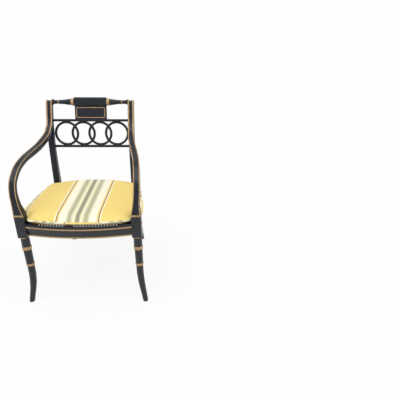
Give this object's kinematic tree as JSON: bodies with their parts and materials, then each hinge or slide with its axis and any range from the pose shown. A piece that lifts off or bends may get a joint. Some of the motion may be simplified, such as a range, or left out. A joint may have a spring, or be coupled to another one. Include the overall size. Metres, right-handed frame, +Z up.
{
  "type": "open back armchair",
  "caption": "Dining armchair with sabre legs, swept arms, a back of interlaced rings under a turned crest rail, a caned seat and a loose striped squab cushion.",
  "frame": {"origin": "middle of the footprint, on the floor", "axes": "+Z up, -Y the way the chair faces, +X to the right as seen from the front"},
  "size_m": [0.5888, 0.5654, 0.8679],
  "materials": {
    "ebonised_wood": "black lacquer with gilt lines",
    "beech": "bare",
    "cane": "woven cane, satin",
    "striped_cloth": "woven stripe",
    "steel": "plain"
  },
  "bodies": {
    "chair_frame": {"left_back_post": "ebonised_wood", "left_arm": "ebonised_wood", "left_front_leg": "ebonised_wood", "left_side_rail": "ebonised_wood", "left_front_corner_block": "beech", "left_rear_corner_block": "beech", "left_arm_dowel": "beech", "left_front_corner_screw_1": "steel", "left_front_corner_screw_2": "steel", "left_rear_corner_screw_1": "steel", "left_rear_corner_screw_2": "steel", "left_arm_screw": "steel", "right_back_post": "ebonised_wood", "right_arm": "ebonised_wood", "right_front_leg": "ebonised_wood", "right_side_rail": "ebonised_wood", "right_front_corner_block": "beech", "right_rear_corner_block": "beech", "right_arm_dowel": "beech", "right_front_corner_screw_1": "steel", "right_front_corner_screw_2": "steel", "right_rear_corner_screw_1": "steel", "right_rear_corner_screw_2": "steel", "right_arm_screw": "steel", "front_rail": "ebonised_wood", "rear_rail": "ebonised_wood", "lower_slat": "ebonised_wood", "upper_slat": "ebonised_wood", "ring_1": "ebonised_wood", "ring_2": "ebonised_wood", "ring_3": "ebonised_wood", "ring_4": "ebonised_wood", "crest_rail": "ebonised_wood", "crest_panel": "ebonised_wood", "cane_panel": "cane", "cane_binding": "ebonised_wood", "ring_1_lower_pin": "beech", "ring_1_upper_pin": "beech", "ring_2_lower_pin": "beech", "ring_2_upper_pin": "beech", "ring_3_lower_pin": "beech", "ring_3_upper_pin": "beech", "ring_4_lower_pin": "beech", "ring_4_upper_pin": "beech"},
    "cushion": {"cushion": "striped_cloth"}
  },
  "joints": [
    {"name": "cushion_lift", "type": "slide", "parent": "chair_frame", "child": "cushion", "axis": [0, 0, 1], "range_m": [0, 0.1]}
  ]
}
